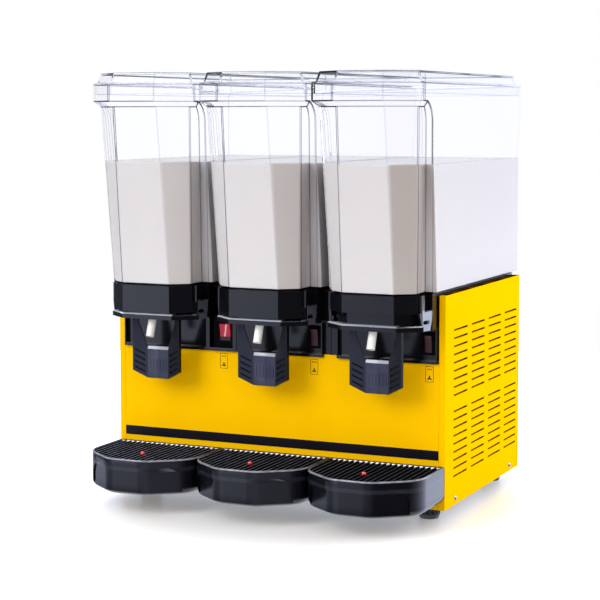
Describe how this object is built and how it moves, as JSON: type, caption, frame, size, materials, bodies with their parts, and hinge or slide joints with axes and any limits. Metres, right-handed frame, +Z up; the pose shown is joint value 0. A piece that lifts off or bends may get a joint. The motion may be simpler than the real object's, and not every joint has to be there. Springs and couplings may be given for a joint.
{
  "type": "cold drink dispenser",
  "caption": "Countertop cold drink dispenser with clear faceted bowls on a louvred yellow cabinet, push levers, rocker switches and pull-out drip trays.",
  "frame": {"origin": "centre of the footprint on the surface the feet stand on", "axes": "+X to the right seen from the front, +Y to the rear, +Z up"},
  "size_m": [0.5748, 0.54, 0.692],
  "materials": {
    "clear_plastic": "clear moulded polycarbonate",
    "black_plastic": "glossy moulded black",
    "dark_plastic": "matte moulded",
    "white_plastic": "food grade moulded white",
    "red_plastic": "translucent moulded red",
    "white_silicone": "soft milky tube",
    "black_rubber": "matte moulded",
    "yellow_paint": "satin powder coat on sheet steel",
    "black_film": "satin film, plain",
    "stainless_steel": "brushed",
    "plated_steel": "zinc plated",
    "galvanised_sheet": "galvanised sheet",
    "dark_steel": "magnet disc on a steel shaft",
    "copper": "bare copper",
    "fin_aluminium": "pressed fins",
    "motor_paint": "black enamel"
  },
  "bodies": {
    "cabinet": {"bowl_seat_left": "black_plastic", "bowl_seat_middle": "black_plastic", "bowl_seat_right": "black_plastic", "cooling_cylinder_left": "stainless_steel", "cooling_cylinder_middle": "stainless_steel", "cooling_cylinder_right": "stainless_steel", "spout_tube_left": "white_silicone", "spout_tube_middle": "white_silicone", "spout_tube_right": "white_silicone", "switch_panel_left": "black_plastic", "switch_panel_middle": "black_plastic", "switch_panel_right": "black_plastic", "mixer_motors": "motor_paint", "evaporator_coils": "copper", "bowl_gaskets": "black_rubber", "lever_pins": "stainless_steel", "lever_springs": "stainless_steel", "switch_bodies": "black_plastic", "screws": "plated_steel", "feet": "black_rubber", "base_pan": "galvanised_sheet", "front_panel": "yellow_paint", "left_side_panel": "yellow_paint", "right_side_panel": "yellow_paint", "rear_panel": "yellow_paint", "top_deck": "yellow_paint", "trim_strip": "black_film", "compressor": "motor_paint", "condenser": "fin_aluminium", "fan_motor": "motor_paint", "cord_inlet": "dark_plastic"},
    "bowl_left_body": {"bowl_left": "clear_plastic"},
    "bowl_lid_left_body": {"bowl_lid_left": "clear_plastic"},
    "mixing_paddle_left_body": {"mixing_paddle_left": "white_plastic"},
    "drive_magnet_left_body": {"drive_magnet_left": "dark_steel"},
    "tap_lever_left_body": {"tap_lever_left": "black_plastic"},
    "switch_rocker_left_body": {"switch_rocker_left": "red_plastic"},
    "drip_tray_left_body": {"drip_tray_left": "black_plastic"},
    "drip_grid_left_body": {"drip_grid_left": "black_plastic"},
    "level_float_left_body": {"level_float_left": "red_plastic"},
    "bowl_middle_body": {"bowl_middle": "clear_plastic"},
    "bowl_lid_middle_body": {"bowl_lid_middle": "clear_plastic"},
    "mixing_paddle_middle_body": {"mixing_paddle_middle": "white_plastic"},
    "drive_magnet_middle_body": {"drive_magnet_middle": "dark_steel"},
    "tap_lever_middle_body": {"tap_lever_middle": "black_plastic"},
    "switch_rocker_middle_body": {"switch_rocker_middle": "red_plastic"},
    "drip_tray_middle_body": {"drip_tray_middle": "black_plastic"},
    "drip_grid_middle_body": {"drip_grid_middle": "black_plastic"},
    "level_float_middle_body": {"level_float_middle": "red_plastic"},
    "bowl_right_body": {"bowl_right": "clear_plastic"},
    "bowl_lid_right_body": {"bowl_lid_right": "clear_plastic"},
    "mixing_paddle_right_body": {"mixing_paddle_right": "white_plastic"},
    "drive_magnet_right_body": {"drive_magnet_right": "dark_steel"},
    "tap_lever_right_body": {"tap_lever_right": "black_plastic"},
    "switch_rocker_right_body": {"switch_rocker_right": "red_plastic"},
    "drip_tray_right_body": {"drip_tray_right": "black_plastic"},
    "drip_grid_right_body": {"drip_grid_right": "black_plastic"},
    "level_float_right_body": {"level_float_right": "red_plastic"},
    "fan_rotor_body": {"fan_rotor": "dark_plastic"}
  },
  "joints": [
    {"name": "bowl_lift_left", "type": "slide", "parent": "cabinet", "child": "bowl_left_body", "axis": [0, 0, 1], "range_m": [0, 0.25]},
    {"name": "lid_lift_left", "type": "slide", "parent": "bowl_left_body", "child": "bowl_lid_left_body", "axis": [0, 0, 1], "range_m": [0, 0.12]},
    {"name": "lever_push_left", "type": "hinge", "parent": "cabinet", "child": "tap_lever_left_body", "pos_m": [-0.19, -0.156, 0.324], "axis": [1, 0, 0], "range_deg": [0, 15], "stiffness_Nm_per_rad": 0.5, "springref_deg": -5.73},
    {"name": "rocker_flip_left", "type": "hinge", "parent": "cabinet", "child": "switch_rocker_left_body", "pos_m": [-0.089, -0.118, 0.278], "axis": [-1, 0, 0], "range_deg": [0, 16]},
    {"name": "tray_pull_left", "type": "slide", "parent": "cabinet", "child": "drip_tray_left_body", "axis": [0, -1, 0], "range_m": [0, 0.16]},
    {"name": "grid_lift_left", "type": "slide", "parent": "drip_tray_left_body", "child": "drip_grid_left_body", "axis": [0, 0, 1], "range_m": [0, 0.06]},
    {"name": "float_rise_left", "type": "slide", "parent": "drip_tray_left_body", "child": "level_float_left_body", "axis": [0, 0, 1], "range_m": [0, 0.02]},
    {"name": "magnet_spin_left", "type": "hinge", "parent": "cabinet", "child": "drive_magnet_left_body", "pos_m": [-0.19, 0.03, 0.421], "axis": [0, 0, 1], "continuous": true},
    {"name": "paddle_spin_left", "type": "hinge", "parent": "cabinet", "child": "mixing_paddle_left_body", "pos_m": [-0.19, 0.03, 0.526], "axis": [0, 0, 1], "continuous": true},
    {"name": "bowl_lift_middle", "type": "slide", "parent": "cabinet", "child": "bowl_middle_body", "axis": [0, 0, 1], "range_m": [0, 0.25]},
    {"name": "lid_lift_middle", "type": "slide", "parent": "bowl_middle_body", "child": "bowl_lid_middle_body", "axis": [0, 0, 1], "range_m": [0, 0.12]},
    {"name": "lever_push_middle", "type": "hinge", "parent": "cabinet", "child": "tap_lever_middle_body", "pos_m": [0, -0.156, 0.324], "axis": [1, 0, 0], "range_deg": [0, 15], "stiffness_Nm_per_rad": 0.5, "springref_deg": -5.73},
    {"name": "rocker_flip_middle", "type": "hinge", "parent": "cabinet", "child": "switch_rocker_middle_body", "pos_m": [0.068, -0.118, 0.278], "axis": [-1, 0, 0], "range_deg": [0, 16]},
    {"name": "tray_pull_middle", "type": "slide", "parent": "cabinet", "child": "drip_tray_middle_body", "axis": [0, -1, 0], "range_m": [0, 0.16]},
    {"name": "grid_lift_middle", "type": "slide", "parent": "drip_tray_middle_body", "child": "drip_grid_middle_body", "axis": [0, 0, 1], "range_m": [0, 0.06]},
    {"name": "float_rise_middle", "type": "slide", "parent": "drip_tray_middle_body", "child": "level_float_middle_body", "axis": [0, 0, 1], "range_m": [0, 0.02]},
    {"name": "magnet_spin_middle", "type": "hinge", "parent": "cabinet", "child": "drive_magnet_middle_body", "pos_m": [0, 0.03, 0.421], "axis": [0, 0, 1], "continuous": true},
    {"name": "paddle_spin_middle", "type": "hinge", "parent": "cabinet", "child": "mixing_paddle_middle_body", "pos_m": [0, 0.03, 0.526], "axis": [0, 0, 1], "continuous": true},
    {"name": "bowl_lift_right", "type": "slide", "parent": "cabinet", "child": "bowl_right_body", "axis": [0, 0, 1], "range_m": [0, 0.25]},
    {"name": "lid_lift_right", "type": "slide", "parent": "bowl_right_body", "child": "bowl_lid_right_body", "axis": [0, 0, 1], "range_m": [0, 0.12]},
    {"name": "lever_push_right", "type": "hinge", "parent": "cabinet", "child": "tap_lever_right_body", "pos_m": [0.19, -0.156, 0.324], "axis": [1, 0, 0], "range_deg": [0, 15], "stiffness_Nm_per_rad": 0.5, "springref_deg": -5.73},
    {"name": "rocker_flip_right", "type": "hinge", "parent": "cabinet", "child": "switch_rocker_right_body", "pos_m": [0.258, -0.118, 0.278], "axis": [-1, 0, 0], "range_deg": [0, 16]},
    {"name": "tray_pull_right", "type": "slide", "parent": "cabinet", "child": "drip_tray_right_body", "axis": [0, -1, 0], "range_m": [0, 0.16]},
    {"name": "grid_lift_right", "type": "slide", "parent": "drip_tray_right_body", "child": "drip_grid_right_body", "axis": [0, 0, 1], "range_m": [0, 0.06]},
    {"name": "float_rise_right", "type": "slide", "parent": "drip_tray_right_body", "child": "level_float_right_body", "axis": [0, 0, 1], "range_m": [0, 0.02]},
    {"name": "magnet_spin_right", "type": "hinge", "parent": "cabinet", "child": "drive_magnet_right_body", "pos_m": [0.19, 0.03, 0.421], "axis": [0, 0, 1], "continuous": true},
    {"name": "paddle_spin_right", "type": "hinge", "parent": "cabinet", "child": "mixing_paddle_right_body", "pos_m": [0.19, 0.03, 0.526], "axis": [0, 0, 1], "continuous": true},
    {"name": "fan_spin", "type": "hinge", "parent": "cabinet", "child": "fan_rotor_body", "pos_m": [0.1425, 0.181, 0.121], "axis": [0, 1, 0], "continuous": true}
  ],
  "couplings": [
    {"joint": "paddle_spin_left", "follows": "magnet_spin_left", "ratio": 1},
    {"joint": "paddle_spin_middle", "follows": "magnet_spin_middle", "ratio": 1},
    {"joint": "paddle_spin_right", "follows": "magnet_spin_right", "ratio": 1}
  ]
}
